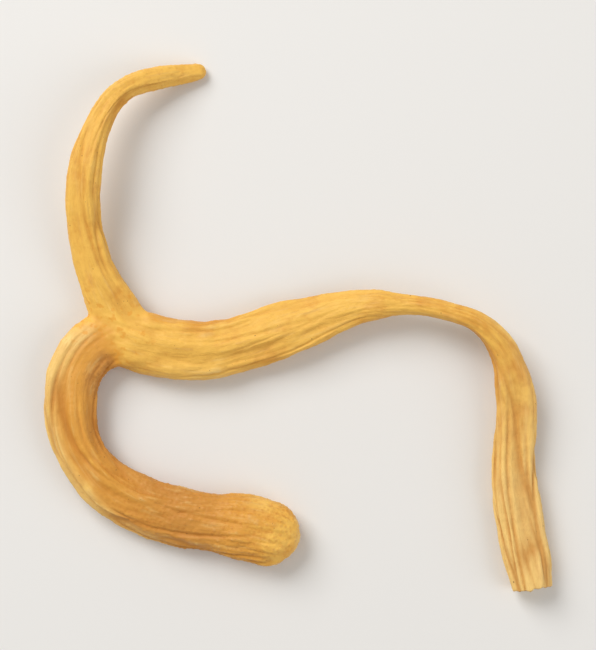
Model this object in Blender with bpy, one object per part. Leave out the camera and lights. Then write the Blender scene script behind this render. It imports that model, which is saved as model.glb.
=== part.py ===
"""A dried cordyceps: one forked fruiting body, picked and dried, lying on its side on a table.

It grew as one piece, and it is parted only at its main fork, with a thin gap at each parting:
stem, the cut stalk that narrows to a neck and then widens up to the fork; upper_branch, a slender
finger that bends round into a hook; lower_branch, a broader finger that ends in a blunt club.

Each limb is a flattened, furrowed tube along a smooth line through a few stations. Lengths are in
millimetres and become metres when a mesh is made. The table is the plane z = 0.
"""

import math
from typing import NamedTuple

import bmesh
import bpy
import numpy as np
from mathutils import Vector

MM = 0.001

# Driving dimensions, in millimetres. The shift brings the middle of the whole to x = y = 0
RING_STEP = 0.62
PARTING_GAP = 0.3
SHIFT_TO_MIDDLE = (-0.327, 0.022, 0.0)

# Points round a broad limb and round a slender one, and rings that close a rounded tip
BROAD_SIDES = 26
SLENDER_SIDES = 20
DOME_RINGS = 5

# A furrow deepens over this share of its length at either end
FADE_SHARE = 0.25
# A limb's direction is read this share of its length ahead and behind
READ_AHEAD_SHARE = 0.01
CREASE_DEGREES = 50

# Shape of a section: 2 is an ellipse, and a higher number is a flatter one with fuller shoulders
FULLNESS = 2.25


class Station(NamedTuple):
    """One place on a limb: where it is, how far its underside is off the table, and its section."""

    x: float
    y: float
    rise: float
    width: float
    thickness: float
    roll: float


class Furrow(NamedTuple):
    """A lengthwise furrow. Angles are degrees round the section, 90 on top; drift is its wander."""

    angle: float
    depth: float
    spread: float
    drift: float
    begins: float
    ends: float


class Swelling(NamedTuple):
    """A low swelling (or a pinch, if it is negative) at a share of the limb's length."""

    at: float
    height: float
    reach: float


# The stalk, from the cut end at the foot, round the bend, over the neck and on to the fork
STEM = [
    Station(16.9, -18.7, -0.05, 2.9, 2.3, 0),
    Station(16.5, -16.3, -0.12, 3.3, 2.3, -4),
    Station(15.9, -13.0, -0.08, 3.5, 2.2, -8),
    Station(15.6, -9.6, 0.10, 3.5, 2.1, -6),
    Station(15.7, -6.2, 0.45, 3.2, 2.0, 0),
    Station(15.4, -3.5, 0.85, 2.7, 2.0, 8),
    Station(14.5, -1.3, 1.15, 2.1, 2.0, 14),
    Station(12.9, 0.2, 1.30, 1.6, 2.0, 14),
    Station(10.7, 1.0, 1.25, 1.4, 1.9, 8),
    Station(8.2, 1.4, 1.05, 1.5, 1.8, 2),
    Station(6.0, 1.4, 0.80, 2.0, 1.8, -4),
    Station(3.8, 1.1, 0.45, 2.8, 1.9, -8),
    Station(1.6, 0.4, 0.15, 3.6, 2.1, -8),
    Station(-1.1, -0.5, -0.05, 4.1, 2.3, -4),
    Station(-4.0, -1.4, -0.15, 4.2, 2.5, 0),
    Station(-6.9, -1.8, -0.15, 4.3, 2.6, 4),
    Station(-9.6, -1.5, -0.10, 4.4, 2.6, 4),
    Station(-11.8, -0.8, -0.02, 4.5, 2.5, 2),
    Station(-14.3, 0.3, 0.10, 4.0, 2.2, 0),
]

# The hooked finger, from inside the fork to its thin tip, which comes down on the table
UPPER_BRANCH = [
    Station(-11.8, -0.8, 0.30, 4.4, 2.0, 0),
    Station(-13.1, 1.7, 0.45, 3.6, 2.1, 4),
    Station(-14.1, 4.2, 0.90, 2.8, 2.0, 10),
    Station(-14.7, 6.8, 1.50, 2.75, 1.9, 14),
    Station(-14.8, 9.5, 2.00, 2.6, 1.9, 14),
    Station(-14.4, 12.2, 2.15, 2.3, 1.8, 10),
    Station(-13.5, 14.7, 1.90, 2.0, 1.7, 4),
    Station(-12.1, 16.6, 1.40, 1.8, 1.6, -2),
    Station(-10.3, 17.5, 0.80, 1.75, 1.5, -6),
    Station(-8.3, 18.0, 0.15, 1.5, 1.3, -4),
    Station(-6.3, 18.4, -0.25, 1.1, 1.0, 0),
]

# The broad finger, from inside the fork, round its bend to the blunt club
LOWER_BRANCH = [
    Station(-11.3, -0.5, 0.25, 3.8, 1.9, 0),
    Station(-13.9, -1.4, 0.35, 4.2, 2.1, 4),
    Station(-15.4, -3.2, 0.50, 3.9, 2.1, 8),
    Station(-15.8, -5.7, 0.55, 3.8, 2.2, 8),
    Station(-15.3, -8.4, 0.45, 3.8, 2.3, 4),
    Station(-13.7, -10.8, 0.28, 4.0, 2.4, 0),
    Station(-11.1, -12.6, 0.05, 4.2, 2.5, -4),
    Station(-8.1, -13.6, -0.12, 4.3, 2.7, -4),
    Station(-5.1, -14.1, -0.18, 4.5, 2.9, 0),
    Station(-2.3, -14.6, -0.15, 4.7, 3.0, 4),
    Station(0.3, -15.4, 0.00, 4.3, 2.8, 4),
]

# Share of each branch's length, from its first station, that stays with the stem as its root
UPPER_ROOT_SHARE = 0.185
LOWER_ROOT_SHARE = 0.235

STEM_FURROWS = [
    Furrow(88, 0.34, 20, 10, 0.02, 0.36),
    Furrow(40, 0.17, 16, -14, 0.30, 0.76),
    Furrow(150, 0.16, 16, 14, 0.00, 0.46),
    Furrow(116, 0.20, 16, -26, 0.56, 0.97),
    Furrow(58, 0.15, 14, 18, 0.66, 0.99),
    Furrow(205, 0.16, 18, 10, 0.10, 0.90),
    Furrow(332, 0.15, 18, -8, 0.20, 0.95),
]
UPPER_FURROWS = [
    Furrow(102, 0.26, 20, -22, 0.06, 0.84),
    Furrow(36, 0.16, 16, 14, 0.25, 0.95),
    Furrow(166, 0.14, 16, 0, 0.35, 0.90),
    Furrow(300, 0.16, 18, 0, 0.10, 0.90),
]
LOWER_FURROWS = [
    Furrow(80, 0.20, 17, 22, 0.10, 0.68),
    Furrow(136, 0.18, 16, -14, 0.16, 0.82),
    Furrow(30, 0.15, 15, 10, 0.30, 0.80),
    Furrow(212, 0.16, 18, 0, 0.20, 0.85),
]

STEM_SWELLINGS = [
    Swelling(0.05, 0.07, 0.03),
    Swelling(0.21, -0.05, 0.04),
    Swelling(0.56, 0.10, 0.02),
    Swelling(0.71, 0.05, 0.03),
    Swelling(0.80, -0.04, 0.03),
]
UPPER_SWELLINGS = [
    Swelling(0.33, -0.06, 0.05),
    Swelling(0.50, 0.06, 0.05),
    Swelling(0.76, -0.07, 0.04),
]
LOWER_SWELLINGS = [
    Swelling(0.42, -0.05, 0.05),
    Swelling(0.62, 0.04, 0.04),
    Swelling(0.78, -0.06, 0.04),
]

SKIN_ROUGHNESS = 0.62
STEM_COLOUR = (0.74, 0.40, 0.10)
UPPER_COLOUR = (0.76, 0.39, 0.08)
LOWER_COLOUR = (0.72, 0.37, 0.09)


def clear_scene():
    for thing in list(bpy.data.objects):
        bpy.data.objects.remove(thing, do_unlink=True)


def bends_of_spline(knots, values):
    """Second derivatives, at the knots, of the natural cubic spline through the values."""
    count = len(knots)
    steps = np.diff(knots)
    matrix = np.eye(count)
    right = np.zeros_like(values)
    slopes = np.diff(values, axis=0) / steps[:, None]
    for i in range(1, count - 1):
        matrix[i, i - 1 : i + 2] = steps[i - 1], 2 * (steps[i - 1] + steps[i]), steps[i]
        right[i] = 6 * (slopes[i] - slopes[i - 1])
    return np.linalg.solve(matrix, right)


def smooth_through(knots, values, at):
    """The natural cubic spline through the values, read at the given distances."""
    bends = bends_of_spline(knots, values)
    i = np.clip(np.searchsorted(knots, at, side="right") - 1, 0, len(knots) - 2)
    step = (knots[i + 1] - knots[i])[:, None]
    after = ((at - knots[i]) / step[:, 0])[:, None]
    before = 1 - after
    line = before * values[i] + after * values[i + 1]
    curve = (before**3 - before) * bends[i] + (after**3 - after) * bends[i + 1]
    return line + curve * step**2 / 6


class Limb:
    """A limb's smooth line and sections, read at any distance from its first station."""

    def __init__(self, stations, furrows, swellings):
        self.furrows = furrows
        self.swellings = swellings
        self.values = np.array(stations, dtype=float)
        self.values[:, 2] += self.values[:, 4] / 2
        strides = np.linalg.norm(np.diff(self.values[:, :3], axis=0), axis=1)
        self.knots = np.concatenate([[0.0], np.cumsum(strides)])
        self.length = self.knots[-1]

    def read(self, at):
        return smooth_through(self.knots, self.values, np.atleast_1d(float(at)))[0]

    def relief(self, share, angle):
        """What the section's radius is multiplied by, from the furrows and swellings."""
        factor = 1.0
        for furrow in self.furrows:
            along = (share - furrow.begins) / (furrow.ends - furrow.begins)
            if not 0 < along < 1:
                continue
            fade = min(1.0, along / FADE_SHARE, (1 - along) / FADE_SHARE)
            middle = furrow.angle + furrow.drift * (along - 0.5)
            off = (math.degrees(angle) - middle + 180) % 360 - 180
            factor -= furrow.depth * fade * math.exp(-((off / furrow.spread) ** 2))
        for swelling in self.swellings:
            factor += swelling.height * math.exp(-(((share - swelling.at) / swelling.reach) ** 2))
        return factor

    def ring(self, at, scale, sides):
        """The points of the section at this distance, shrunk by scale where a tip closes."""
        x, y, z, width, thickness, roll = self.read(at)
        reach = READ_AHEAD_SHARE * self.length
        ahead = self.read(min(at + reach, self.length))[:3]
        behind = self.read(max(at - reach, 0))[:3]
        along = Vector(ahead - behind).normalized()
        across = along.cross(Vector((0, 0, 1))).normalized()
        upward = across.cross(along)
        turn = math.radians(roll)
        flat = across * math.cos(turn) + upward * math.sin(turn)
        deep = upward * math.cos(turn) - across * math.sin(turn)
        points = []
        for i in range(sides):
            angle = math.tau * i / sides
            c, s = math.cos(angle), math.sin(angle)
            c = math.copysign(abs(c) ** (2 / FULLNESS), c)
            s = math.copysign(abs(s) ** (2 / FULLNESS), s)
            size = scale * self.relief(at / self.length, angle) / 2
            point = Vector((x, y, z)) + flat * (c * width * size) + deep * (s * thickness * size)
            # Dried flat where it lies on the table
            point.z = max(point.z, 0.0)
            points.append(point)
        return points

    def stretch(self, start, end, round_end):
        """(distance, scale) of each ring between two distances, closing in a dome at a round end."""
        dome = self.read(end)[3] / 2 if round_end else 0.0
        count = max(2, round((end - dome - start) / RING_STEP))
        rings = [(start + (end - dome - start) * i / count, 1.0) for i in range(count + 1)]
        for i in range(1, DOME_RINGS * round_end):
            turn = math.pi / 2 * i / DOME_RINGS
            rings.append((end - dome + dome * math.sin(turn), math.cos(turn)))
        return rings


def tube(name, limb, start, end, sides, round_end):
    """A closed object along the limb between two distances, flat at its start."""
    bm = bmesh.new()
    rings = [
        [bm.verts.new(point * MM) for point in limb.ring(at, scale, sides)]
        for at, scale in limb.stretch(start, end, round_end)
    ]
    for near, far in zip(rings, rings[1:]):
        for i in range(sides):
            j = (i + 1) % sides
            bm.faces.new((near[i], near[j], far[j], far[i]))
    bm.faces.new(list(reversed(rings[0])))
    if round_end:
        tip = limb.read(end)
        pole = bm.verts.new(Vector((tip[0], tip[1], max(tip[2], 0.0))) * MM)
        for i in range(sides):
            bm.faces.new((rings[-1][i], rings[-1][(i + 1) % sides], pole))
    else:
        bm.faces.new(rings[-1])
    bmesh.ops.recalc_face_normals(bm, faces=bm.faces)
    mesh = bpy.data.meshes.new(name)
    bm.to_mesh(mesh)
    bm.free()
    mesh.shade_smooth()
    mesh.set_sharp_from_angle(angle=math.radians(CREASE_DEGREES))
    thing = bpy.data.objects.new(name, mesh)
    bpy.context.scene.collection.objects.link(thing)
    return thing


def finish_of(name, colour):
    """A matte, dried skin of one colour."""
    material = bpy.data.materials.new(name)
    material.use_nodes = True
    shader = material.node_tree.nodes["Principled BSDF"]
    shader.inputs["Base Color"].default_value = (*colour, 1.0)
    shader.inputs["Roughness"].default_value = SKIN_ROUGHNESS
    shader.inputs["Metallic"].default_value = 0.0
    return material


def join_by_union(body, root):
    """The root becomes a guide, and the body takes its shape in."""
    root.hide_render = True
    root.display_type = "WIRE"
    union = body.modifiers.new("union with " + root.name, "BOOLEAN")
    union.operation = "UNION"
    union.object = root


def build():
    clear_scene()
    whole = bpy.data.objects.new("dried_cordyceps", None)
    whole.location = Vector(SHIFT_TO_MIDDLE) * MM
    bpy.context.scene.collection.objects.link(whole)

    stem_limb = Limb(STEM, STEM_FURROWS, STEM_SWELLINGS)
    upper_limb = Limb(UPPER_BRANCH, UPPER_FURROWS, UPPER_SWELLINGS)
    lower_limb = Limb(LOWER_BRANCH, LOWER_FURROWS, LOWER_SWELLINGS)
    upper_parting = upper_limb.length * UPPER_ROOT_SHARE
    lower_parting = lower_limb.length * LOWER_ROOT_SHARE

    stem = tube("stem", stem_limb, 0, stem_limb.length, BROAD_SIDES, True)
    upper_root = tube("upper_root_guide", upper_limb, 0, upper_parting, SLENDER_SIDES, False)
    lower_root = tube("lower_root_guide", lower_limb, 0, lower_parting, BROAD_SIDES, False)
    join_by_union(stem, upper_root)
    join_by_union(stem, lower_root)

    upper_start = upper_parting + PARTING_GAP
    lower_start = lower_parting + PARTING_GAP
    upper = tube("upper_branch", upper_limb, upper_start, upper_limb.length, SLENDER_SIDES, True)
    lower = tube("lower_branch", lower_limb, lower_start, lower_limb.length, BROAD_SIDES, True)

    stem.data.materials.append(finish_of("stem skin", STEM_COLOUR))
    upper.data.materials.append(finish_of("upper branch skin", UPPER_COLOUR))
    lower.data.materials.append(finish_of("lower branch skin", LOWER_COLOUR))
    for thing in (stem, upper, lower, upper_root, lower_root):
        thing.parent = whole


build()
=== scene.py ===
"""The looks of one dried cordyceps, a forked fruiting body that lies on a pale table.

The three limbs are grown as one skin along the same smooth lines as the solids, melted together
at the fork, wrinkled as flesh that has shrunk in drying, and then parted into the pieces of the
frame. Lengths are in millimetres until a mesh is finished, and a finished mesh is in metres.
"""

from __future__ import annotations

import logging
import math
from dataclasses import dataclass
from enum import Enum
from itertools import product
from typing import NamedTuple, Optional, Union

import bmesh
import bpy
import numpy as np
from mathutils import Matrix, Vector


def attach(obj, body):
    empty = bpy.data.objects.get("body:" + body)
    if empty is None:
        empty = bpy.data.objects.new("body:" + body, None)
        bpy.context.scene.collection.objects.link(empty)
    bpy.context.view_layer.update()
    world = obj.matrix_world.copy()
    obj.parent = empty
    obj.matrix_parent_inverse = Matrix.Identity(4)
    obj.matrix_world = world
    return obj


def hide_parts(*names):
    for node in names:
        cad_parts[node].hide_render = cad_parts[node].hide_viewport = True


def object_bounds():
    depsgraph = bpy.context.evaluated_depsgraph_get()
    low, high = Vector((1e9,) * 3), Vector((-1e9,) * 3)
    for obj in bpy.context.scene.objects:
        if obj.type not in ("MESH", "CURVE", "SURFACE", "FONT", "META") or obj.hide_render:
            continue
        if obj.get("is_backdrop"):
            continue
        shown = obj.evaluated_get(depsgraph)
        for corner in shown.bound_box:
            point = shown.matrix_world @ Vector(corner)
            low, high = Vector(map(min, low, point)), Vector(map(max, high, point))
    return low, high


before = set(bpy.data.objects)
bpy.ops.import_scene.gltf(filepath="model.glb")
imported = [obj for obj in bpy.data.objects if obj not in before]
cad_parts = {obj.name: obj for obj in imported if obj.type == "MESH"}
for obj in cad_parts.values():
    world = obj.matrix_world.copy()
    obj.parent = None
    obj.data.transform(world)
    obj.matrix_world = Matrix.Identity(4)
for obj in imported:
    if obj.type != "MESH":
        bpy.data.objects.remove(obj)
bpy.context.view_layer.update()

Array = np.ndarray
Colour = tuple[float, float, float]

log = logging.getLogger("dried cordyceps")

MM = 0.001

# The middle of the whole, as in the solids, and where the skins part
SHIFT_TO_MIDDLE = (-0.327, 0.022, 0.0)
PARTING_GAP = 0.3
PARTING_REACH = 1.45

# Shape of a section: 2 is an ellipse, and a higher number is a flatter one with fuller shoulders
FULLNESS = 2.25
FADE_SHARE = 0.25
READ_AHEAD_SHARE = 0.01

# Fineness of the skin, in millimetres
RING_STEP = 0.2
SIDES = 72
DOME_RINGS = 14
LINE_STEP = 0.1
VOXEL = 0.084


class Station(NamedTuple):
    """One place on a limb: where it is, how far its underside is off the table, its section."""

    x: float
    y: float
    rise: float
    width: float
    thickness: float
    roll: float


class Furrow(NamedTuple):
    """A lengthwise furrow. Angles are degrees round the section, 90 on top."""

    angle: float
    depth: float
    spread: float
    drift: float
    begins: float
    ends: float


class Swelling(NamedTuple):
    """A low swelling, or a pinch if it is negative, at a share of the limb's length."""

    at: float
    height: float
    reach: float


class LimbPlace(NamedTuple):
    """Where a set of points lies on one limb."""

    along: Array
    share: Array
    angle: Array
    ratio: Array
    offset: Array
    width: Array
    inner: Array
    furrow: Array
    line: Array


def smoothstep(low: float, high: float, value: Array) -> Array:
    """A soft step.

    Args:
        low: the value where the step starts, at 0.
        high: the value where it ends, at 1. It may be the smaller of the two.
        value: what is stepped.

    Returns:
        The step, from 0 to 1.
    """
    t = np.clip((value - low) / (high - low), 0.0, 1.0)
    return t * t * (3.0 - 2.0 * t)


class Noise:
    """Smooth noise over space, in which one unit is one lump. It is the same on each run."""

    CORNERS = tuple(product((0, 1), repeat=3))
    NEIGHBOURS = tuple(product((-1, 0, 1), repeat=3))

    def __init__(self, seed: int) -> None:
        """Draws the tables.

        Args:
            seed: the number that sets this noise apart from the others.
        """
        draw = np.random.default_rng(seed)
        self.table = draw.permutation(256)
        directions = draw.normal(size=(256, 3))
        self.directions = directions / np.linalg.norm(directions, axis=1)[:, None]
        self.jitter = draw.random((256, 3))

    def entry(self, cell: Array) -> Array:
        """The table entry of each whole-numbered cell."""
        x, y, z = (cell & 255).T
        return self.table[(self.table[(self.table[x] + y) & 255] + z) & 255]

    def at(self, points: Array) -> Array:
        """Gradient noise.

        Args:
            points: places, one row each.

        Returns:
            A value from about -1 to 1 for each.
        """
        cell = np.floor(points).astype(np.int64)
        inside = points - cell
        ease = inside**3 * (inside * (inside * 6 - 15) + 10)
        total = np.zeros(len(points))
        for corner in self.CORNERS:
            direction = self.directions[self.entry(cell + corner)]
            rise = ((inside - corner) * direction).sum(axis=1)
            weight = np.where(corner, ease, 1 - ease).prod(axis=1)
            total += weight * rise
        return total * 1.7

    def fractal(self, points: Array, octaves: int) -> Array:
        """Noise with ever finer and fainter noise on it.

        Args:
            points: places, one row each.
            octaves: how many noises are summed.

        Returns:
            A value from about -1 to 1 for each.
        """
        total = np.zeros(len(points))
        for octave in range(octaves):
            total += self.at(points * 2.0**octave + 17.3 * octave) * 0.5**octave
        return total

    def nearest(self, points: Array) -> Array:
        """Distance to the nearest of the scattered seeds, one seed in each cell.

        Args:
            points: places, one row each.

        Returns:
            The distance, in cells.
        """
        cell = np.floor(points).astype(np.int64)
        best = np.full(len(points), np.inf)
        for neighbour in self.NEIGHBOURS:
            there = cell + neighbour
            seed = there + self.jitter[self.entry(there)]
            best = np.minimum(best, ((points - seed) ** 2).sum(axis=1))
        return np.sqrt(best)


def bends_of_spline(knots: Array, values: Array) -> Array:
    """Second derivatives of a natural cubic spline.

    Args:
        knots: the distances of the spline's points.
        values: one row for each point.

    Returns:
        The second derivatives at the knots, one row for each.
    """
    count = len(knots)
    steps = np.diff(knots)
    matrix = np.eye(count)
    right = np.zeros_like(values)
    slopes = np.diff(values, axis=0) / steps[:, None]
    for i in range(1, count - 1):
        matrix[i, i - 1 : i + 2] = steps[i - 1], 2 * (steps[i - 1] + steps[i]), steps[i]
        right[i] = 6 * (slopes[i] - slopes[i - 1])
    return np.linalg.solve(matrix, right)


@dataclass
class Limb:
    """One limb: its smooth line, its sections, and where the branches of the frame start."""

    node: str
    slot: str
    stations: list[Station]
    furrows: list[Furrow]
    swellings: list[Swelling]
    lines: list[Furrow]
    root_share: float = 0.0

    def __post_init__(self) -> None:
        """Works out the spline through the stations."""
        self.values = np.array(self.stations, dtype=float)
        self.values[:, 2] += self.values[:, 4] / 2
        self.values[:, :3] += SHIFT_TO_MIDDLE
        strides = np.linalg.norm(np.diff(self.values[:, :3], axis=0), axis=1)
        self.knots = np.concatenate([[0.0], np.cumsum(strides)])
        self.bends = bends_of_spline(self.knots, self.values)
        self.length = float(self.knots[-1])

    def read(self, at: Array) -> Array:
        """Reads the limb's line and section.

        Args:
            at: distances from the first station.

        Returns:
            One row for each: x, y, z, width, thickness and roll.
        """
        i = np.clip(np.searchsorted(self.knots, at, side="right") - 1, 0, len(self.knots) - 2)
        step = (self.knots[i + 1] - self.knots[i])[:, None]
        after = (at - self.knots[i])[:, None] / step
        before = 1 - after
        line = before * self.values[i] + after * self.values[i + 1]
        curve = (before**3 - before) * self.bends[i] + (after**3 - after) * self.bends[i + 1]
        return line + curve * step**2 / 6

    def directions(self, at: Array, roll: Array) -> tuple[Array, Array, Array]:
        """The limb's own directions.

        Args:
            at: distances from the first station.
            roll: the roll there, in degrees.

        Returns:
            The unit vectors along the limb, across its flat, and through its thickness.
        """
        reach = READ_AHEAD_SHARE * self.length
        ahead = self.read(np.minimum(at + reach, self.length))[:, :3]
        behind = self.read(np.maximum(at - reach, 0))[:, :3]
        along = ahead - behind
        along /= np.linalg.norm(along, axis=1)[:, None]
        across = np.cross(along, (0.0, 0.0, 1.0))
        across /= np.linalg.norm(across, axis=1)[:, None]
        upward = np.cross(across, along)
        c = np.cos(np.radians(roll))[:, None]
        s = np.sin(np.radians(roll))[:, None]
        return along, across * c + upward * s, upward * c - across * s

    def across(self, furrow: Furrow, share: Array, angle: Array) -> tuple[Array, Array]:
        """Where a furrow is on the skin.

        Args:
            furrow: the furrow.
            share: shares of the limb's length.
            angle: angles round the section, in radians.

        Returns:
            How far off its middle each pair is, in degrees, and how much of its depth it has.
        """
        along = (share - furrow.begins) / (furrow.ends - furrow.begins)
        fade = np.clip(np.minimum(along, 1 - along) / FADE_SHARE, 0.0, 1.0)
        middle = furrow.angle + furrow.drift * (along - 0.5)
        off = (np.degrees(angle) - middle + 180) % 360 - 180
        return off, furrow.depth * fade

    def furrowing(self, share: Array, angle: Array) -> Array:
        """How deep the main furrows are, as a share of the section's radius.

        Args:
            share: shares of the limb's length.
            angle: angles round the section, in radians.

        Returns:
            The depth at each pair.
        """
        total = np.zeros(np.broadcast(share, angle).shape)
        for furrow in self.furrows:
            off, depth = self.across(furrow, share, angle)
            total = total + depth * np.exp(-((off / furrow.spread) ** 2))
        return total

    def scoring(self, share: Array, angle: Array) -> Array:
        """How deep the narrow, sharp lines between the furrows are.

        Args:
            share: shares of the limb's length.
            angle: angles round the section, in radians.

        Returns:
            The depth at each pair, as a share of the section's radius.
        """
        total = np.zeros(np.broadcast(share, angle).shape)
        for line in self.lines:
            off, depth = self.across(line, share, angle)
            total = total + depth * np.clip(1 - np.abs(off) / line.spread, 0, 1) ** 1.4
        return total

    def swell(self, share: Array) -> Array:
        """How far the section swells, as a share of its radius, at shares of the length."""
        total = np.zeros_like(share)
        for swelling in self.swellings:
            total += swelling.height * np.exp(-(((share - swelling.at) / swelling.reach) ** 2))
        return total

    def tube(self) -> tuple[Array, list[tuple[int, ...]]]:
        """A closed, finely ringed tube along the limb, flat at its start and domed at its end.

        Returns:
            The points, and the faces as tuples of point numbers.
        """
        dome = self.values[-1, 3] / 2
        count = round((self.length - dome) / RING_STEP)
        at = np.linspace(0, self.length - dome, count + 1)
        turn = np.linspace(0, math.pi / 2, DOME_RINGS + 1)[1:-1]
        at = np.concatenate([at, self.length - dome + dome * np.sin(turn)])
        scale = np.concatenate([np.ones(count + 1), np.cos(turn)])
        values = self.read(at)
        _, flat, deep = self.directions(at, values[:, 5])
        angle = np.arange(SIDES) * math.tau / SIDES
        c = np.sign(np.cos(angle)) * np.abs(np.cos(angle)) ** (2 / FULLNESS)
        s = np.sign(np.sin(angle)) * np.abs(np.sin(angle)) ** (2 / FULLNESS)
        share = at / self.length
        size = 1 - self.furrowing(share[:, None], angle[None]) + self.swell(share)[:, None]
        size *= scale[:, None] / 2
        points = values[:, None, :3] + flat[:, None] * (c * values[:, 3:4] * size)[..., None]
        points += deep[:, None] * (s * values[:, 4:5] * size)[..., None]
        points = points.reshape(-1, 3)
        faces = []
        for ring in range(len(at) - 1):
            for side in range(SIDES):
                near = ring * SIDES + side
                beside = ring * SIDES + (side + 1) % SIDES
                faces.append((near, near + SIDES, beside + SIDES, beside))
        faces.append(tuple(range(SIDES)))
        last = (len(at) - 1) * SIDES
        faces.append(tuple(last + side for side in reversed(range(SIDES))))
        return points, faces

    def place(self, points: Array) -> LimbPlace:
        """Where points lie on the limb.

        Args:
            points: places near the skin, one row each.

        Returns:
            Their places in the limb's own terms.
        """
        line_at = np.arange(0, self.length, LINE_STEP)
        line = self.read(line_at)[:, :3]
        nearest = np.empty(len(points), dtype=np.int64)
        for part in np.array_split(np.arange(len(points)), max(1, len(points) // 20000)):
            apart = (line**2).sum(axis=1)[None] - 2 * points[part] @ line.T
            nearest[part] = apart.argmin(axis=1)
        at = line_at[nearest]
        along, _, _ = self.directions(at, np.zeros(len(at)))
        at = np.clip(at + ((points - line[nearest]) * along).sum(axis=1), 0, self.length)
        values = self.read(at)
        along, flat, deep = self.directions(at, values[:, 5])
        away = points - values[:, :3]
        past = (away * along).sum(axis=1)
        across = (away * flat).sum(axis=1)
        through = (away * deep).sum(axis=1)
        u = np.sign(across) * np.abs(2 * across / values[:, 3]) ** (FULLNESS / 2)
        v = np.sign(through) * np.abs(2 * through / values[:, 4]) ** (FULLNESS / 2)
        angle = np.arctan2(v, u)
        share = at / self.length
        reach = 2 * READ_AHEAD_SHARE * self.length
        ahead, _, _ = self.directions(np.minimum(at + reach, self.length), values[:, 5])
        turning = (ahead - along) / reach
        return LimbPlace(
            along=at,
            share=share,
            angle=angle,
            ratio=np.hypot((u**2 + v**2) ** (1 / FULLNESS), 2 * past / values[:, 3]),
            offset=np.stack([across, through], axis=1),
            width=values[:, 3],
            inner=(away * turning).sum(axis=1),
            furrow=self.furrowing(share, angle),
            line=self.scoring(share, angle),
        )


class Parting(NamedTuple):
    """A plane where a branch parts from the stem, and how far from its middle it cuts."""

    branch: Limb
    middle: Array
    along: Array
    reach: float


STEM = Limb(
    node="stem",
    slot="stem_skin",
    stations=[
        Station(16.9, -18.7, -0.05, 2.9, 2.3, 0),
        Station(16.5, -16.3, -0.12, 3.3, 2.3, -4),
        Station(15.9, -13.0, -0.08, 3.5, 2.2, -8),
        Station(15.6, -9.6, 0.10, 3.5, 2.1, -6),
        Station(15.7, -6.2, 0.45, 3.2, 2.0, 0),
        Station(15.4, -3.5, 0.85, 2.7, 2.0, 8),
        Station(14.5, -1.3, 1.15, 2.1, 2.0, 14),
        Station(12.9, 0.2, 1.30, 1.6, 2.0, 14),
        Station(10.7, 1.0, 1.25, 1.4, 1.9, 8),
        Station(8.2, 1.4, 1.05, 1.5, 1.8, 2),
        Station(6.0, 1.4, 0.80, 2.0, 1.8, -4),
        Station(3.8, 1.1, 0.45, 2.8, 1.9, -8),
        Station(1.6, 0.4, 0.15, 3.6, 2.1, -8),
        Station(-1.1, -0.5, -0.05, 4.1, 2.3, -4),
        Station(-4.0, -1.4, -0.15, 4.2, 2.5, 0),
        Station(-6.9, -1.8, -0.15, 4.3, 2.6, 4),
        Station(-9.6, -1.5, -0.10, 4.4, 2.6, 4),
        Station(-11.8, -0.8, -0.02, 4.5, 2.5, 2),
        Station(-14.3, 0.3, 0.10, 4.0, 2.2, 0),
    ],
    furrows=[
        Furrow(88, 0.34, 20, 10, 0.02, 0.36),
        Furrow(40, 0.17, 16, -14, 0.30, 0.76),
        Furrow(150, 0.16, 16, 14, 0.00, 0.46),
        Furrow(116, 0.20, 16, -26, 0.56, 0.97),
        Furrow(58, 0.15, 14, 18, 0.66, 0.99),
        Furrow(205, 0.16, 18, 10, 0.10, 0.90),
        Furrow(332, 0.15, 18, -8, 0.20, 0.95),
    ],
    swellings=[
        Swelling(0.05, 0.07, 0.03),
        Swelling(0.21, -0.05, 0.04),
        Swelling(0.56, 0.10, 0.02),
        Swelling(0.71, 0.05, 0.03),
        Swelling(0.80, -0.04, 0.03),
    ],
    lines=[
        Furrow(60, 0.10, 9, 8, -0.06, 0.27),
        Furrow(113, 0.15, 10, -12, -0.08, 0.33),
        Furrow(136, 0.12, 9, 12, -0.04, 0.30),
        Furrow(166, 0.12, 10, -10, -0.05, 0.26),
        Furrow(20, 0.12, 10, 14, -0.04, 0.24),
        Furrow(245, 0.10, 10, 20, -0.05, 0.40),
        Furrow(300, 0.10, 10, -20, -0.05, 0.35),
        Furrow(96, 0.08, 8, 30, 0.34, 0.62),
        Furrow(62, 0.07, 8, -24, 0.40, 0.70),
        Furrow(144, 0.07, 7, 16, 0.50, 0.90),
        Furrow(84, 0.05, 7, -30, 0.60, 0.88),
    ],
)

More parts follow.
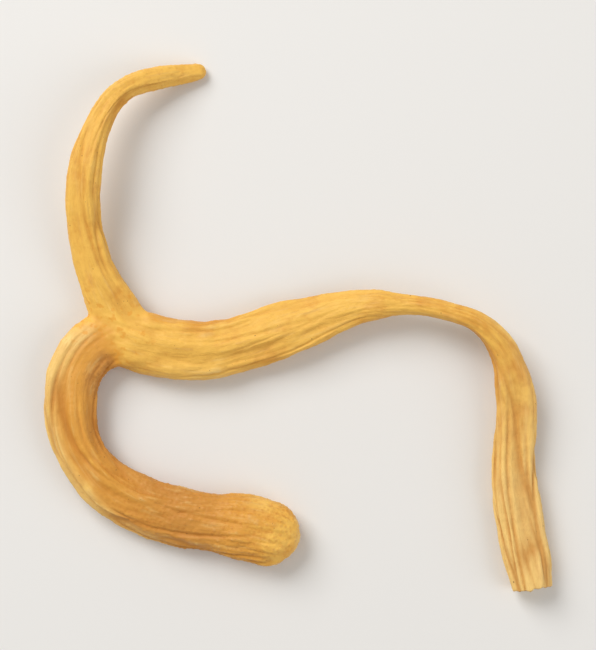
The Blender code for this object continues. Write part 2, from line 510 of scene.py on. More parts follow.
UPPER_BRANCH = Limb(
    node="upper_branch",
    slot="upper_branch_skin",
    stations=[
        Station(-11.8, -0.8, 0.30, 4.4, 2.0, 0),
        Station(-13.1, 1.7, 0.45, 3.6, 2.1, 4),
        Station(-14.1, 4.2, 0.90, 2.8, 2.0, 10),
        Station(-14.7, 6.8, 1.50, 2.75, 1.9, 14),
        Station(-14.8, 9.5, 2.00, 2.6, 1.9, 14),
        Station(-14.4, 12.2, 2.15, 2.3, 1.8, 10),
        Station(-13.5, 14.7, 1.90, 2.0, 1.7, 4),
        Station(-12.1, 16.6, 1.40, 1.8, 1.6, -2),
        Station(-10.3, 17.5, 0.80, 1.75, 1.5, -6),
        Station(-8.3, 18.0, 0.15, 1.5, 1.3, -4),
        Station(-6.3, 18.4, -0.25, 1.1, 1.0, 0),
    ],
    furrows=[
        Furrow(102, 0.26, 20, -22, 0.06, 0.84),
        Furrow(36, 0.16, 16, 14, 0.25, 0.95),
        Furrow(166, 0.14, 16, 0, 0.35, 0.90),
        Furrow(300, 0.16, 18, 0, 0.10, 0.90),
    ],
    swellings=[
        Swelling(0.33, -0.06, 0.05),
        Swelling(0.50, 0.06, 0.05),
        Swelling(0.76, -0.07, 0.04),
    ],
    lines=[
        Furrow(70, 0.10, 9, 22, 0.10, 0.55),
        Furrow(132, 0.10, 9, -18, 0.30, 0.85),
        Furrow(58, 0.10, 9, -20, 0.50, 0.96),
        Furrow(10, 0.08, 9, 14, 0.20, 0.70),
        Furrow(230, 0.10, 10, 20, 0.15, 0.90),
    ],
    root_share=0.185,
)

LOWER_BRANCH = Limb(
    node="lower_branch",
    slot="lower_branch_skin",
    stations=[
        Station(-11.3, -0.5, 0.25, 3.8, 1.9, 0),
        Station(-13.9, -1.4, 0.35, 4.2, 2.1, 4),
        Station(-15.4, -3.2, 0.50, 3.9, 2.1, 8),
        Station(-15.8, -5.7, 0.55, 3.8, 2.2, 8),
        Station(-15.3, -8.4, 0.45, 3.8, 2.3, 4),
        Station(-13.7, -10.8, 0.28, 4.0, 2.4, 0),
        Station(-11.1, -12.6, 0.05, 4.2, 2.5, -4),
        Station(-8.1, -13.6, -0.12, 4.3, 2.7, -4),
        Station(-5.1, -14.1, -0.18, 4.5, 2.9, 0),
        Station(-2.3, -14.6, -0.15, 4.7, 3.0, 4),
        Station(0.3, -15.4, 0.00, 4.3, 2.8, 4),
    ],
    furrows=[
        Furrow(80, 0.20, 17, 22, 0.10, 0.68),
        Furrow(136, 0.18, 16, -14, 0.16, 0.82),
        Furrow(30, 0.15, 15, 10, 0.30, 0.80),
        Furrow(212, 0.16, 18, 0, 0.20, 0.85),
    ],
    swellings=[
        Swelling(0.42, -0.05, 0.05),
        Swelling(0.62, 0.04, 0.04),
        Swelling(0.78, -0.06, 0.04),
    ],
    lines=[
        Furrow(47, 0.09, 8, -16, 0.14, 0.55),
        Furrow(112, 0.09, 8, 22, 0.20, 0.66),
        Furrow(158, 0.10, 9, -14, 0.12, 0.50),
        Furrow(64, 0.08, 8, 20, 0.48, 0.84),
        Furrow(100, 0.07, 7, -18, 0.58, 0.90),
        Furrow(240, 0.10, 10, 18, 0.20, 0.85),
    ],
    root_share=0.235,
)


@dataclass(frozen=True)
class Wrinkles:
    """One family of wrinkles: sharp valleys that run along the limb, and join and part."""

    spacing: float
    stretch: float
    sharpness: float
    depth: float
    seed: int
    twist: float = 2.2
    usual_width: float = 3.4

    def valleys(self, place: LimbPlace) -> Array:
        """How deep in a valley each point is.

        Args:
            place: where the points lie on their limb.

        Returns:
            0 on the open skin, 1 at the bottom of a valley.
        """
        noise = Noise(self.seed)
        turn = np.radians(self.twist * place.along)
        crowd = np.sqrt(self.usual_width / place.width) / self.spacing
        across = (place.offset[:, 0] * np.cos(turn) + place.offset[:, 1] * np.sin(turn)) * crowd
        through = (place.offset[:, 1] * np.cos(turn) - place.offset[:, 0] * np.sin(turn)) * crowd
        where = np.column_stack([across, through, place.along / self.stretch / self.spacing])
        sway = np.column_stack([noise.at(where * 0.5 + shift) for shift in (3.1, 7.7, 11.9)])
        steepness = np.abs(noise.at(where + 0.5 * sway)) * self.sharpness
        patchy = smoothstep(-0.55, 0.30, noise.at(where * 0.35 + 31.7))
        return np.clip(1 - steepness, 0.0, 1.0) ** 1.4 * patchy


@dataclass(frozen=True)
class DriedFlesh:
    """How flesh that has shrunk in drying breaks up a limb's surface. Lengths are in mm."""

    broad: Wrinkles = Wrinkles(1.35, 6.5, 2.6, 0.200, 11)
    middling: Wrinkles = Wrinkles(0.72, 7.0, 2.2, 0.100, 23)
    fine: Wrinkles = Wrinkles(0.38, 7.0, 1.9, 0.046, 37)
    lump_size: float = 2.2
    lump_height: float = 0.09
    grain_size: float = 0.30
    grain_height: float = 0.016
    pleat_spacing: float = 0.42
    pleat_depth: float = 0.05
    pimple_spacing: float = 0.31
    pimple_height: float = 0.045
    # painted shade: how much the scored lines add to the creasing that the finish darkens
    line_darkness: float = 4.0
    deepest: float = 0.34
    least_share: float = 0.45
    usual_width: float = 3.8

    def pimples(self, points: Array) -> Array:
        """The low mouths of the spore chambers: 1 on the top of each, 0 between them."""
        return smoothstep(0.62, 0.08, Noise(53).nearest(points / self.pimple_spacing))

    def relief(self, points: Array, place: LimbPlace, fertile: Array) -> tuple[Array, Array]:
        """The height that drying adds to a limb's surface, and how deep in a crease it is.

        Args:
            points: places on the skin.
            place: where they lie on the limb.
            fertile: 1 where the skin bears spores.

        Returns:
            The height in mm, and the creasing from 0 to 1.
        """
        broad = self.broad.valleys(place)
        middling = self.middling.valleys(place)
        fine = self.fine.valleys(place)
        pleat_place = np.column_stack([place.offset * 0.6, place.along]) / self.pleat_spacing
        pleats = np.exp(-((Noise(71).at(pleat_place) * 3.0) ** 2))
        pleats *= smoothstep(0.10, 0.40, place.inner)
        plump = np.clip(place.width / self.usual_width, self.least_share, 1.1)
        height = self.lump_height * plump * Noise(5).fractal(points / self.lump_size, 2)
        height += self.grain_height * Noise(83).fractal(points / self.grain_size, 2)
        depth = plump * (self.broad.depth * broad + self.middling.depth * middling)
        depth += self.fine.depth * fine + self.pleat_depth * pleats + place.line * place.width / 2
        height -= self.deepest * np.tanh(depth / self.deepest)
        height += self.pimple_height * self.pimples(points) * fertile
        # The creasing is the mask of the painted shade in valleys, pleats and scored lines.
        crease = 0.80 * broad**1.5 + 0.45 * middling**1.5 + 0.22 * fine + 0.3 * pleats
        crease += self.line_darkness * place.line
        return height, np.clip(crease, 0.0, 1.0)


@dataclass
class Fungus:
    """The whole fruiting body, grown as one skin and then parted into the frame's pieces."""

    stem: Limb
    upper_branch: Limb
    lower_branch: Limb
    flesh: DriedFlesh = DriedFlesh()
    settle_passes: int = 9
    fork_passes: int = 70
    fork_reach: float = 0.10

    @property
    def limbs(self) -> tuple[Limb, Limb, Limb]:
        """The limbs, the stem first."""
        return self.stem, self.upper_branch, self.lower_branch

    def grow(self) -> bpy.types.Object:
        """The limbs' tubes melted into one plain skin.

        Returns:
            The skin, in millimetres.
        """
        points: list[Array] = []
        faces: list[tuple[int, ...]] = []
        for limb in self.limbs:
            limb_points, limb_faces = limb.tube()
            before = sum(map(len, points))
            points.append(limb_points)
            faces += [tuple(before + corner for corner in face) for face in limb_faces]
        mesh = bpy.data.meshes.new("growth")
        mesh.from_pydata(np.concatenate(points), [], faces)
        growth = bpy.data.objects.new("growth", mesh)
        bpy.context.scene.collection.objects.link(growth)
        remesh = growth.modifiers.new("melt", "REMESH")
        remesh.mode = "VOXEL"
        remesh.voxel_size = VOXEL
        return apply_modifiers(growth)

    def foot_cut(self, points: Array, normals: Array) -> Array:
        """Which points are on the foot's cut face.

        Args:
            points: places on the skin.
            normals: the skin's normals there.

        Returns:
            1 on the cut face, 0 elsewhere.
        """
        place = self.stem.place(points)
        along, _, _ = self.stem.directions(np.zeros(1), np.zeros(1))
        facing = smoothstep(0.55, 0.85, -(normals @ along[0]))
        return facing * (place.along < 0.3) * (place.ratio < 1.3)

    def settle(self, growth: bpy.types.Object) -> None:
        """Smooths the melting away, fills the crotches of the fork, and trims the foot flat.

        Args:
            growth: the plain skin, which is changed.
        """
        points = points_of(growth.data)
        places = [limb.place(points) for limb in self.limbs]
        near = np.zeros(len(points))
        for branch in places[1:]:
            off = (places[0].ratio - 1) ** 2 + (branch.ratio - 1) ** 2
            near = np.maximum(near, np.exp(-off / self.fork_reach))
        whole = smoothstep(0.0, 0.25, places[0].along)
        for name, passes, share in (("settle", self.settle_passes, whole),
                                    ("fork", self.fork_passes, near)):
            group = growth.vertex_groups.new(name=name + " share")
            levels = np.round(share * 20).astype(int)
            for level in range(1, 21):
                chosen = np.nonzero(levels == level)[0]
                group.add(chosen.tolist(), level / 20, "REPLACE")
            smooth = growth.modifiers.new(name, "SMOOTH")
            smooth.iterations = passes
            smooth.vertex_group = group.name
        apply_modifiers(growth)
        growth.vertex_groups.clear()
        points = points_of(growth.data)
        cut = self.foot_cut(points, normals_of(growth.data)) > 0.5
        along, _, _ = self.stem.directions(np.zeros(1), np.zeros(1))
        out = ((points - self.stem.read(np.zeros(1))[:, :3]) * along).sum(axis=1)
        points -= along * (out * cut)[:, None]
        growth.data.vertices.foreach_set("co", points.ravel())
        growth.data.update()

    def partings(self) -> list[Parting]:
        """Where each branch parts from the stem."""
        found = []
        for branch in self.limbs[1:]:
            at = np.array([branch.root_share * branch.length + PARTING_GAP / 2])
            along, _, _ = branch.directions(at, np.zeros(1))
            values = branch.read(at)[0]
            found.append(Parting(branch, values[:3], along[0], PARTING_REACH * values[3] / 2))
        return found

    def cut_partings(self, growth: bpy.types.Object) -> None:
        """Draws a clean ring of edges round each branch where it parts from the stem.

        Args:
            growth: the plain skin, which is changed.
        """
        bm = bmesh.new()
        bm.from_mesh(growth.data)
        for parting in self.partings():
            middle = Vector(parting.middle)
            faces = [
                face for face in bm.faces
                if (face.calc_center_median() - middle).length < parting.reach
            ]
            edges = {edge for face in faces for edge in face.edges}
            verts = {vert for face in faces for vert in face.verts}
            bmesh.ops.bisect_plane(
                bm,
                geom=[*verts, *edges, *faces],
                dist=VOXEL / 4,
                plane_co=middle,
                plane_no=Vector(parting.along),
                use_snap_center=True,
            )
        bm.to_mesh(growth.data)
        bm.free()

    def levelled(self, points: Array, moves: Array) -> Array:
        """Moves of the skin that keep the rings at the partings in their planes.

        Args:
            points: places on the plain skin.
            moves: how far each is about to move.

        Returns:
            The moves, without what goes along a branch close to its parting.
        """
        for parting in self.partings():
            away = points - parting.middle
            close = smoothstep(parting.reach, 0.85 * parting.reach, np.linalg.norm(away, axis=1))
            close *= smoothstep(0.6, 0.0, np.abs(away @ parting.along))
            moves = moves - np.outer(close * (moves @ parting.along), parting.along)
        return moves

    def wrinkle(self, growth: bpy.types.Object) -> None:
        """Moves the skin's points to the dried relief, and stores what the finishes read.

        Args:
            growth: the plain skin, which is changed.
        """
        mesh = growth.data
        points = points_of(mesh)
        normals = normals_of(mesh)
        places = [limb.place(points) for limb in self.limbs]
        fertile = [
            np.zeros(len(points)),
            0.7 * smoothstep(0.40, 0.75, places[1].share),
            smoothstep(0.36, 0.62, places[2].share),
        ]
        least = np.min([place.ratio for place in places], axis=0)
        weights = np.array([np.exp(-12 * (place.ratio - least)) for place in places])
        weights /= weights.sum(axis=0)
        height = np.zeros(len(points))
        crease = np.zeros(len(points))
        for weight, place, bearing in zip(weights, places, fertile):
            raised, creased = self.flesh.relief(points, place, bearing)
            height += weight * raised
            crease += weight * creased
        cut = self.foot_cut(points, normals)
        height *= np.where(cut > 0, np.clip(places[0].ratio, 0, 1) ** 4, 1)
        foot_middle = self.stem.read(np.zeros(1))[:, :3]
        foot_along, _, _ = self.stem.directions(np.zeros(1), np.zeros(1))
        from_middle = points - foot_middle
        outward = from_middle - foot_along * (from_middle * foot_along).sum(axis=1)[:, None]
        outward /= np.maximum(np.linalg.norm(outward, axis=1), 0.01)[:, None]
        at_foot = smoothstep(0.5, 0.1, places[0].along) * (weights[0] > 0.5)
        ways_out = normals + (outward - normals) * at_foot[:, None]
        pith = Noise(97).fractal(points / 0.26, 3)
        sunk = np.clip(1 - places[0].ratio ** 2, 0, 1)
        pitted = cut * (0.30 * sunk - 0.07 * pith * np.sqrt(sunk))
        torn = 0.17 * Noise(29).fractal(points / 0.9, 2) * smoothstep(0.7, 0.0, places[0].along)
        along_foot = pitted + torn * weights[0]
        moves = ways_out * height[:, None] + foot_along * along_foot[:, None]
        points = points + self.levelled(points, moves)
        points[:, 2] = np.maximum(points[:, 2], 0.0)
        mesh.vertices.foreach_set("co", points.ravel())
        mesh.update()
        fertility = (weights * fertile).sum(axis=0)
        furrow = (weights * [place.furrow for place in places]).sum(axis=0)
        club = smoothstep(0.72, 0.95, places[2].share)
        inner = (weights * [place.inner for place in places]).sum(axis=0)
        late = smoothstep(0.50, 0.72, places[2].share) - club
        # paler stretched skin on the outside of bends, with a painted highlight on these rims
        outer = smoothstep(0.05, 0.26, -inner)
        unripe = np.full(len(points), 0.10)
        # painted shadow: a darker band across the stem at its bend, standing in for the shadow of
        # other strands
        painted_bend_shadow = 0.5 * np.exp(-(((places[0].share - 0.36) / 0.07) ** 2))
        # the lower branch: darker before its club, paler on its club, and paler on the outside of its
        # crook, partly painted highlight
        lower = 1.0 + 0.60 * late - 0.60 * club - 0.45 * outer
        ripeness_and_shade = np.array([unripe + painted_bend_shadow, unripe, lower])
        # a riper, browner tint and painted shade on the inside of bends
        ripeness_and_shade = ripeness_and_shade + 0.8 * smoothstep(0.03, 0.30, inner)
        near_branches = np.minimum(places[1].ratio, places[2].ratio)
        chosen = weights.argmax(axis=0)
        offset = np.choose(chosen[:, None], [place.offset for place in places])
        along = np.choose(chosen, [place.along for place in places])
        ways = [limb.directions(place.along, 0 * along)[0] for limb, place in zip(self.limbs, places)]
        end_on = np.abs((normals * np.choose(chosen[:, None], ways)).sum(axis=1))
        before_tip = np.choose(chosen, [limb.length - place.along
                                        for limb, place in zip(self.limbs, places)])
        single = smoothstep(0.70, 0.97, weights.max(axis=0)) * smoothstep(0.80, 0.45, end_on)
        single *= smoothstep(0.4, 2.0, before_tip)
        # painted shade: the creasing and the main furrows, which the finish darkens
        store(mesh, "crease", np.clip(crease + 1.6 * furrow, 0, 1))
        # the height, which the finish paints paler as a painted highlight on raised skin
        store(mesh, "height", np.clip(0.5 + height / 0.3, 0, 1))
        store(mesh, "pimple", self.flesh.pimples(points) * fertility)
        # ripeness with painted shade in it, which the finish turns to amber, russet and darker
        # creases
        store(mesh, "ripe_and_shade", (weights * ripeness_and_shade).sum(axis=0))
        store(mesh, "outer", outer)
        store(mesh, "foot", weights[0] * smoothstep(0.40, 0.10, places[0].share))
        store(mesh, "cut", cut)
        store(mesh, "rim", cut * smoothstep(0.80, 0.97, places[0].ratio))
        store(mesh, "fork", smoothstep(1.9, 1.0, places[0].ratio)
              * smoothstep(1.9, 1.0, near_branches))
        store(mesh, "single", single)
        store(mesh, "fibre", np.column_stack([offset + 9.0 * chosen[:, None], along]))
        store(mesh, "whole_normal", normals_of(mesh))

    def part(self, growth: bpy.types.Object) -> dict[str, bpy.types.Object]:
        """Parts the skin into one closed piece for each node of the frame.

        Args:
            growth: the finished skin, which is removed.

        Returns:
            The pieces by their node's name, in metres.
        """
        mesh = growth.data
        middles = np.empty(len(mesh.polygons) * 3, dtype=np.float32)
        mesh.polygons.foreach_get("center", middles)
        middles = middles.reshape(-1, 3).astype(float)
        places = [limb.place(middles) for limb in self.limbs]
        nearest = np.argmin([place.ratio for place in places], axis=0)
        owner = np.zeros(len(middles), dtype=np.int32)
        for number, parting in enumerate(self.partings(), start=1):
            branch = parting.branch
            off = middles - parting.middle
            close = np.linalg.norm(off, axis=1) < branch.read(np.zeros(1))[0, 3]
            further = places[number].along > branch.root_share * branch.length
            beyond = np.where(close, off @ parting.along > 0, further)
            owner[beyond & (nearest == number)] = number
        layer = mesh.attributes.new("owner", "INT", "FACE")
        layer.data.foreach_set("value", owner)
        pieces = {}
        for number, limb in enumerate(self.limbs):
            pieces[limb.node] = self.piece(growth, limb, number)
        bpy.data.objects.remove(growth)
        return pieces

    def piece(self, growth: bpy.types.Object, limb: Limb, number: int) -> bpy.types.Object:
        """One closed piece of the skin.

        Args:
            growth: the finished skin, with each face's owner stored.
            limb: the limb that this piece is.
            number: the owner's number.

        Returns:
            The piece, in metres.
        """
        bm = bmesh.new()
        bm.from_mesh(growth.data)
        owner = bm.faces.layers.int["owner"]
        others = [face for face in bm.faces if face[owner] != number]
        bmesh.ops.delete(bm, geom=others, context="FACES")
        rims = [edge for edge in bm.edges if edge.is_boundary]
        for edge in rims:
            edge.smooth = False
        caps = bmesh.ops.holes_fill(bm, edges=rims, sides=0)["faces"]
        caps = bmesh.ops.triangulate(bm, faces=caps)["faces"]
        for face in bm.faces:
            face.smooth = True
        for face in caps:
            face[owner] = -1
        bmesh.ops.scale(bm, vec=(MM, MM, MM), verts=bm.verts)
        mesh = bpy.data.meshes.new(limb.node + "_skin")
        bm.to_mesh(mesh)
        bm.free()
        shade_as_whole(mesh)
        piece = bpy.data.objects.new(limb.node + "_skin", mesh)
        bpy.context.scene.collection.objects.link(piece)
        return piece

    def build(self) -> dict[str, bpy.types.Object]:
        """Grows, softens, wrinkles and parts the skin.

        Returns:
            The pieces by their node's name.
        """
        growth = self.grow()
        log.info("melted skin: %d points", len(growth.data.vertices))
        self.settle(growth)
        self.cut_partings(growth)
        self.wrinkle(growth)
        return self.part(growth)


def apply_modifiers(thing: bpy.types.Object) -> bpy.types.Object:
    """Turns an object's modifiers into its mesh.

    Args:
        thing: the object, which is changed.

    Returns:
        The same object.
    """
    graph = bpy.context.evaluated_depsgraph_get()
    made = bpy.data.meshes.new_from_object(thing.evaluated_get(graph))
    thing.modifiers.clear()
    old = thing.data
    thing.data = made
    bpy.data.meshes.remove(old)
    return thing


def points_of(mesh: bpy.types.Mesh) -> Array:
    """The mesh's points, one row each."""
    values = np.empty(len(mesh.vertices) * 3, dtype=np.float32)
    mesh.vertices.foreach_get("co", values)
    return values.reshape(-1, 3).astype(float)


def normals_of(mesh: bpy.types.Mesh) -> Array:
    """The mesh's normals at its points, one row each."""
    values = np.empty(len(mesh.vertices) * 3, dtype=np.float32)
    mesh.vertex_normals.foreach_get("vector", values)
    return values.reshape(-1, 3).astype(float)


def shade_as_whole(mesh: bpy.types.Mesh) -> None:
    """Shades a piece with the normals of the whole skin, so that its parting doesn't show.

    Args:
        mesh: the piece's mesh, whose working layers are removed.
    """
    points = np.empty(len(mesh.vertices) * 3, dtype=np.float32)
    mesh.attributes["whole_normal"].data.foreach_get("vector", points)
    owner = np.empty(len(mesh.polygons), dtype=np.int32)
    mesh.attributes["owner"].data.foreach_get("value", owner)
    sides = np.empty(len(mesh.polygons), dtype=np.int32)
    mesh.polygons.foreach_get("loop_total", sides)
    flat = np.empty(len(mesh.polygons) * 3, dtype=np.float32)
    mesh.polygons.foreach_get("normal", flat)
    corners = np.empty(len(mesh.loops), dtype=np.int32)
    mesh.loops.foreach_get("vertex_index", corners)
    capped = np.repeat(owner < 0, sides)[:, None]
    level = np.repeat(flat.reshape(-1, 3), sides, axis=0)
    mesh.normals_split_custom_set(np.where(capped, level, points.reshape(-1, 3)[corners]))
    mesh.attributes.remove(mesh.attributes["whole_normal"])
    mesh.attributes.remove(mesh.attributes["owner"])


def store(mesh: bpy.types.Mesh, name: str, values: Array) -> None:
    """Stores one number or one vector for each point of a mesh.

    Args:
        mesh: the mesh.
        name: the name that a finish reads it by.
        values: a row or a number for each point.
    """
    vectors = values.ndim == 2
    layer = mesh.attributes.new(name, "FLOAT_VECTOR" if vectors else "FLOAT", "POINT")
    layer.data.foreach_set("vector" if vectors else "value", values.astype(np.float32).ravel())


class MathStep(Enum):
    """The steps of arithmetic that a shader socket takes part in."""

    ADD = "ADD"
    SUBTRACT = "SUBTRACT"
    MULTIPLY = "MULTIPLY"
    POWER = "POWER"


Feed = Union["Value", float, int, tuple]


class Value:
    """A shader socket that takes part in Python arithmetic."""

    def __init__(self, surface: Surface, socket: bpy.types.NodeSocket) -> None:
        """Wraps a socket.

        Args:
            surface: the surface whose nodes the arithmetic adds to.
            socket: the output socket.
        """
        self.surface = surface
        self.socket = socket

    def step(self, kind: MathStep, first: Feed, second: Feed) -> Value:
        """One Math node on two values."""
        return self.surface.node("ShaderNodeMath", {"operation": kind.value}, {0: first, 1: second})

    def __add__(self, other: Feed) -> Value:
        """This value and another, added."""
        return self.step(MathStep.ADD, self, other)

    def __radd__(self, other: Feed) -> Value:
        """Another value and this one, added."""
        return self.step(MathStep.ADD, other, self)

    def __sub__(self, other: Feed) -> Value:
        """This value less another."""
        return self.step(MathStep.SUBTRACT, self, other)

    def __rsub__(self, other: Feed) -> Value:
        """Another value less this one."""
        return self.step(MathStep.SUBTRACT, other, self)

    def __mul__(self, other: Feed) -> Value:
        """This value times another."""
        return self.step(MathStep.MULTIPLY, self, other)

    def __rmul__(self, other: Feed) -> Value:
        """Another value times this one."""
        return self.step(MathStep.MULTIPLY, other, self)

    def __pow__(self, other: Feed) -> Value:
        """This value to a power."""
        return self.step(MathStep.POWER, self, other)

    def size(self) -> Value:
        """This value without its sign."""
        return self.surface.node("ShaderNodeMath", {"operation": "ABSOLUTE"}, {0: self})

    def between(self, low: float, high: float) -> Value:
        """A soft step of this value.

        Args:
            low: where the step starts, at 0.
            high: where it ends, at 1.

        Returns:
            The step.
        """
        settings = {"interpolation_type": "SMOOTHSTEP"}
        inputs = {"Value": self, "From Min": low, "From Max": high}
        return self.surface.node("ShaderNodeMapRange", settings, inputs)


class Surface:
    """A material under construction."""

    def __init__(self, name: str) -> None:
        """Starts an empty material.

        Args:
            name: the material's name.
        """
        self.material = bpy.data.materials.new(name)
        self.material.use_nodes = True
        self.tree = self.material.node_tree
        self.tree.nodes.clear()

    def node(
        self,
        kind: str,
        settings: Optional[dict[str, object]] = None,
        inputs: Optional[dict[Union[str, int], Feed]] = None,
        output: Union[str, int] = 0,
    ) -> Value:
        """Adds a node.

        Args:
            kind: the node's type.
            settings: its own settings, which are set first.
            inputs: values or links of its sockets, by name or by number.
            output: the output that is used.

        Returns:
            That output.
        """
        made = self.tree.nodes.new(kind)
        for name, value in (settings or {}).items():
            setattr(made, name, value)
        for name, value in (inputs or {}).items():
            if isinstance(value, Value):
                self.tree.links.new(value.socket, made.inputs[name])
            else:
                made.inputs[name].default_value = value
        return Value(self, made.outputs[output])

    def stored(self, name: str) -> Value:
        """A number that the mesh stores at its points."""
        return self.node("ShaderNodeAttribute", {"attribute_name": name}, output="Fac")

    def stored_vector(self, name: str) -> Value:
        """A vector that the mesh stores at its points."""
        return self.node("ShaderNodeAttribute", {"attribute_name": name}, output="Vector")

    def place(self) -> Value:
        """The place on the object, in metres."""
        return self.node("ShaderNodeTexCoord", output="Object")

    def noise(self, where: Value, lumps_per_unit: float, detail: float = 2.0) -> Value:
        """Cloudy noise.

        Args:
            where: the place that it is read at.
            lumps_per_unit: how many lumps fit in one unit of the place.
            detail: how many finer noises are on it.

        Returns:
            A value from 0 to 1.
        """
        inputs = {"Vector": where, "Scale": lumps_per_unit, "Detail": detail}
        return self.node("ShaderNodeTexNoise", {}, inputs)

    def mixed(self, share: Feed, below: Feed, above: Feed) -> Value:
        """One colour laid over another.

        Args:
            share: how much of the upper one shows.
            below: the lower colour.
            above: the upper colour.

        Returns:
            The mixed colour.
        """
        settings = {"data_type": "RGBA"}
        return self.node("ShaderNodeMix", settings, {0: share, 6: below, 7: above}, output=2)

    def dress(self, piece: bpy.types.Object, **sockets: Feed) -> None:
        """Closes the material with a Principled shader and puts it on a piece.

        Args:
            piece: the object that wears it.
            sockets: values or links of the shader's sockets, with _ for a space.
        """
        inputs = {name.replace("_", " "): value for name, value in sockets.items()}
        shader = self.node("ShaderNodeBsdfPrincipled", {}, inputs)
        ending = self.tree.nodes.new("ShaderNodeOutputMaterial")
        self.tree.links.new(shader.socket, ending.inputs["Surface"])
        piece.data.materials.clear()
        piece.data.materials.append(self.material)


def opaque(colour: Colour) -> tuple[float, float, float, float]:
    """A colour with full alpha, as the sockets take it."""
    return (*colour, 1.0)


@dataclass(frozen=True)
class DriedSkin:
    """The finish of the dried skin: matte, golden orange, with a painted highlight where it stands
    proud and painted shade in its creases.
    """

    golden: Colour = (0.89, 0.51, 0.088)
    amber: Colour = (0.73, 0.335, 0.045)
    # russet: a browner tint that also serves as painted shade on the lower branch and inside bends
    russet_and_shade: Colour = (0.54, 0.225, 0.040)
    # painted shade: the dark orange-brown that creases, furrows and fine lines are darkened towards
    crease: Colour = (0.52, 0.195, 0.020)
    # pale gold: the skin's own paler streaks, and a painted highlight on raised skin and on the
    # outside of bends
    pale_and_highlight: Colour = (0.93, 0.67, 0.24)
    foot: Colour = (0.93, 0.66, 0.26)
    pith: Colour = (0.95, 0.82, 0.56)
    stain: Colour = (0.80, 0.54, 0.23)
    mouth: Colour = (0.56, 0.19, 0.020)
    fleck: Colour = (0.76, 0.32, 0.028)
    speck: Colour = (0.20, 0.065, 0.012)
    roughness: float = 0.52

    def dress(self, piece: bpy.types.Object) -> None:
        """Puts the finish on a piece of skin.

        Args:
            piece: the piece, with what the finish reads stored at its points.
        """
        surface = Surface(piece.name + " finish")
        place = surface.place()
        fibre = surface.node(
            "ShaderNodeVectorMath",
            {"operation": "MULTIPLY"},
            {0: surface.stored_vector("fibre"), 1: (1.0, 1.0, 0.12)},
        )
        crease = surface.stored("crease")
        cut = surface.stored("cut")
        single = surface.stored("single")
        foot = surface.stored("foot")
        mottle = surface.noise(place, 1 / (2.6 * MM), 4.0)
        blotch = surface.noise(place, 1 / (0.7 * MM), 3.0)
        streak = surface.noise(fibre, 3.2, 4.0)
        thread = surface.noise(fibre, 8.0, 2.0)
        lines = (thread - 0.5).size().between(0.055, 0.0) * single
        grain = surface.noise(place, 1 / (0.085 * MM), 2.0)

        tone = 0.45 * mottle + 0.25 * blotch + 0.30 * ((streak - 0.5) * single + 0.5)
        # ripeness with painted shade in it, at the stem's bend and on the inside of bends
        ripe_and_shade = surface.stored("ripe_and_shade")
        # amber by random tone and by ripeness, which carries painted shade
        ripened_and_shaded = (tone + (ripe_and_shade - 0.30) * 0.25).between(0.42, 0.64)
        colour = surface.mixed(ripened_and_shaded, opaque(self.golden), opaque(self.amber))
        # russet on the riper parts: a browner tint with painted shade in it
        browned_and_shaded = (ripe_and_shade + (mottle - 0.5)).between(0.90, 1.90) * 0.75
        colour = surface.mixed(browned_and_shaded, colour, opaque(self.russet_and_shade))
        # painted highlight: raised skin away from the creases made paler
        pale = surface.stored("height").between(0.50, 0.78) * (1 - crease) * 0.45
        # the skin's own paler streaks along the fibre
        pale = pale + streak.between(0.54, 0.72) * single * 0.25
        # paler stretched skin and a painted highlight on the outside of bends, stronger on riper
        # parts
        pale = pale + surface.stored("outer") * (0.22 + 0.55 * ripe_and_shade)
        colour = surface.mixed(pale, colour, opaque(self.pale_and_highlight))
        colour = surface.mixed(foot * 0.60, colour, opaque(self.foot))
        # painted shade: the fine thread lines darkened towards the crease colour
        colour = surface.mixed(lines * 0.12, colour, opaque(self.crease))
        # painted shade: creases and furrows darkened, patchily, and more on the riper parts, inside
        # bends and at the foot
        deep = crease.between(0.12, 1.0) * (0.22 + 0.22 * blotch + 0.36 * ripe_and_shade + 0.34 * foot)
        colour = surface.mixed(deep, colour, opaque(self.crease))
        mouths = surface.stored("pimple").between(0.20, 1.0) * 0.35
        colour = surface.mixed(mouths, colour, opaque(self.mouth))
        flecks = surface.stored("fork") * surface.noise(place, 1 / (0.5 * MM)).between(0.55, 0.66)
        colour = surface.mixed(flecks * 0.65, colour, opaque(self.fleck))
        specks = surface.noise(place, 1 / (0.22 * MM), 1.0).between(0.775, 0.80)
        colour = surface.mixed(specks * 0.8, colour, opaque(self.speck))
        colour = surface.mixed(cut * 0.92, colour, opaque(self.pith))
        stains = cut * surface.noise(place, 1 / (0.35 * MM), 4.0).between(0.42, 0.66) * 0.8
        colour = surface.mixed(stains, colour, opaque(self.stain))
        colour = surface.mixed(surface.stored("rim") * 0.75, colour, opaque(self.amber))

        rough = self.roughness + 0.16 * crease + 0.10 * (grain - 0.5)
        bumps = surface.node(
            "ShaderNodeBump",
            {},
            {
                "Strength": 0.8,
                "Distance": 0.055 * MM,
                "Height": grain * 0.4 + (thread - lines * 0.25) * single * 0.6,
            },
        )
        surface.dress(
            piece,
            Base_Color=colour,
            Roughness=rough,
            Normal=bumps,
            Specular_IOR_Level=0.40,
            Sheen_Weight=0.10,
            Sheen_Roughness=0.45,
            Sheen_Tint=(1.0, 0.80, 0.45, 1.0),
        )


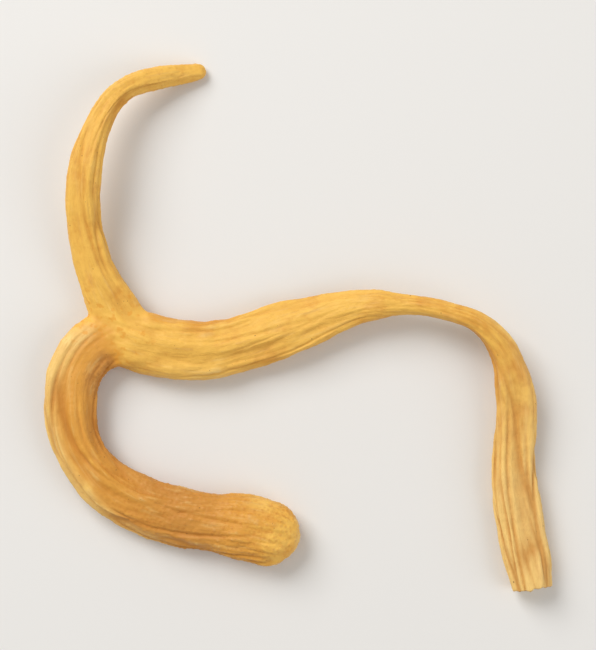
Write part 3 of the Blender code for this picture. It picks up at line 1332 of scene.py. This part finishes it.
@dataclass(frozen=True)
class Studio:
    """A pale floor, soft light from the upper left, and the camera over the fungus."""

    floor_side: float = 1.2
    floor_colour: Colour = (0.80, 0.79, 0.77)
    lens: float = 85.0
    elevation: float = 88.0
    frame_pixels: tuple[int, int] = (596, 650)
    margin: float = 1.17
    sensor: float = 36.0
    key_power: float = 1.26
    fill_power: float = 0.45
    ambience: float = 0.42

    def lay_floor(self) -> None:
        """The plain floor, just under the fungus."""
        half = self.floor_side / 2
        mesh = bpy.data.meshes.new("floor")
        corners = [(-half, -half), (half, -half), (half, half), (-half, half)]
        mesh.from_pydata([(x, y, -0.02 * MM) for x, y in corners], [], [(0, 1, 2, 3)])
        floor = bpy.data.objects.new("floor", mesh)
        bpy.context.scene.collection.objects.link(floor)
        surface = Surface("floor finish")
        tone = surface.noise(surface.place(), 9.0, 2.0)
        shade = surface.mixed(tone * 0.2, opaque(self.floor_colour), (0.76, 0.75, 0.73, 1.0))
        surface.dress(floor, Base_Color=shade, Roughness=0.75, Specular_IOR_Level=0.2)
        floor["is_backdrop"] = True

    def lamp(self, name: str, place: Vector, aim: Vector, side: float, power: float) -> None:
        """A square soft light.

        Args:
            name: the light's name.
            place: where it hangs.
            aim: what it points at.
            side: the length of its side.
            power: its power in watts.
        """
        data = bpy.data.lights.new(name, "AREA")
        data.shape = "SQUARE"
        data.size = side
        data.energy = power
        light = bpy.data.objects.new(name, data)
        light.location = place
        light.rotation_mode = "QUATERNION"
        light.rotation_quaternion = (aim - place).to_track_quat("-Z", "Y")
        bpy.context.scene.collection.objects.link(light)

    def light(self, middle: Vector) -> None:
        """The lights and the pale surroundings.

        Args:
            middle: the middle of the fungus.
        """
        self.lamp("key", middle + Vector((-0.20, 0.22, 0.26)), middle, 0.24, self.key_power)
        self.lamp("fill", middle + Vector((0.30, -0.12, 0.24)), middle, 0.30, self.fill_power)
        world = bpy.data.worlds.new("surroundings")
        world.use_nodes = True
        background = world.node_tree.nodes["Background"]
        background.inputs["Color"].default_value = (1.0, 0.965, 0.92, 1.0)
        background.inputs["Strength"].default_value = self.ambience
        bpy.context.scene.world = world

    def aim_camera(self, lowest: Vector, highest: Vector) -> None:
        """The camera, looking down so that the fungus fills the frame.

        Args:
            lowest: the fungus's lowest corner.
            highest: its highest corner.
        """
        middle = (lowest + highest) / 2
        wide, high = self.frame_pixels
        long_side = max(wide, high)
        need = max((highest.x - lowest.x) / wide, (highest.y - lowest.y) / high) * long_side
        away = self.margin * need * self.lens / self.sensor
        tilt = math.radians(self.elevation)
        back = Vector((0.0, -math.cos(tilt), math.sin(tilt)))
        data = bpy.data.cameras.new("camera")
        data.lens = self.lens
        data.sensor_width = self.sensor
        data.clip_start = 0.01
        data.clip_end = 10.0
        camera = bpy.data.objects.new("camera", data)
        camera.location = middle + back * away
        camera.rotation_mode = "QUATERNION"
        camera.rotation_quaternion = (-back).to_track_quat("-Z", "Y")
        bpy.context.scene.collection.objects.link(camera)
        bpy.context.scene.camera = camera


def main() -> None:
    """Builds the fungus and its studio."""
    logging.basicConfig(level=logging.INFO, format="%(message)s")
    bpy.context.scene.view_settings.view_transform = "Standard"
    fungus = Fungus(STEM, UPPER_BRANCH, LOWER_BRANCH)
    pieces = fungus.build()
    finish = DriedSkin()
    for limb in fungus.limbs:
        piece = pieces[limb.node]
        finish.dress(piece)
        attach(piece, "root")
        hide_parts(limb.node)
        log.info("%s: %d faces", piece.name, len(piece.data.polygons))
    lowest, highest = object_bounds()
    studio = Studio()
    studio.lay_floor()
    studio.light((lowest + highest) / 2)
    studio.aim_camera(lowest, highest)


if __name__ == "__main__":
    main()
